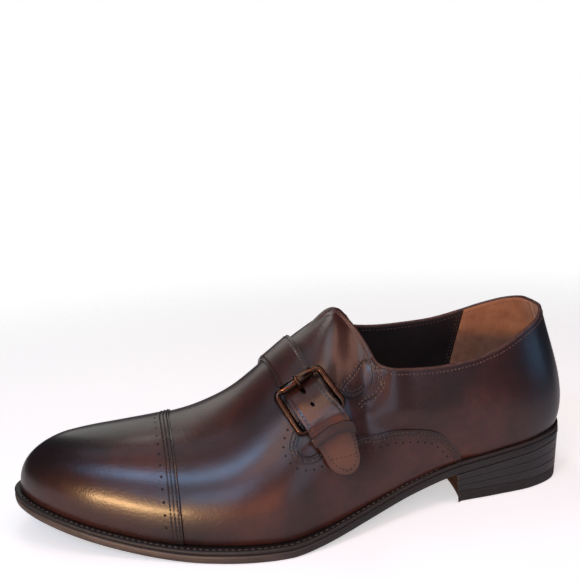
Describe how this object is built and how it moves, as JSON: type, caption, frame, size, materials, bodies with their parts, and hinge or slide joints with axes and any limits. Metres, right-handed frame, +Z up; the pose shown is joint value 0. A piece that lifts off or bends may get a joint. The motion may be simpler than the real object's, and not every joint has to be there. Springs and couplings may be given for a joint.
{
  "type": "monk strap shoe",
  "caption": "Left cap-toe monk strap dress shoe, hollow and open at the collar, with a buckled instep strap, welted sole and low stacked heel.",
  "frame": {"origin": "on the floor, under the centre of the shoe's bounding box", "axes": "-X towards the toe, +X towards the heel, -Y towards the outer side with the buckle, +Z up"},
  "size_m": [0.3068, 0.1078, 0.1048],
  "materials": {
    "burnished_leather": "polished, burnished darker at toe and heel",
    "strap_leather": "polished, edges dyed dark",
    "sole_leather": "dyed dark, matt edge",
    "welt_leather": "dyed black, matt",
    "stacked_heel": "dyed black, satin",
    "heel_rubber": "matt",
    "insole_leather": "unpolished",
    "antique_bronze": "darkened, satin"
  },
  "bodies": {
    "root": {"outsole": "sole_leather", "welt": "welt_leather", "heel_lift_1": "stacked_heel", "heel_lift_2": "stacked_heel", "heel_lift_3": "stacked_heel", "top_piece": "heel_rubber", "insole": "insole_leather", "upper": "burnished_leather", "strap": "strap_leather", "keeper_loop": "strap_leather", "buckle_tab": "strap_leather", "buckle_frame": "antique_bronze", "buckle_roller": "antique_bronze", "buckle_prong": "antique_bronze"}
  },
  "joints": []
}
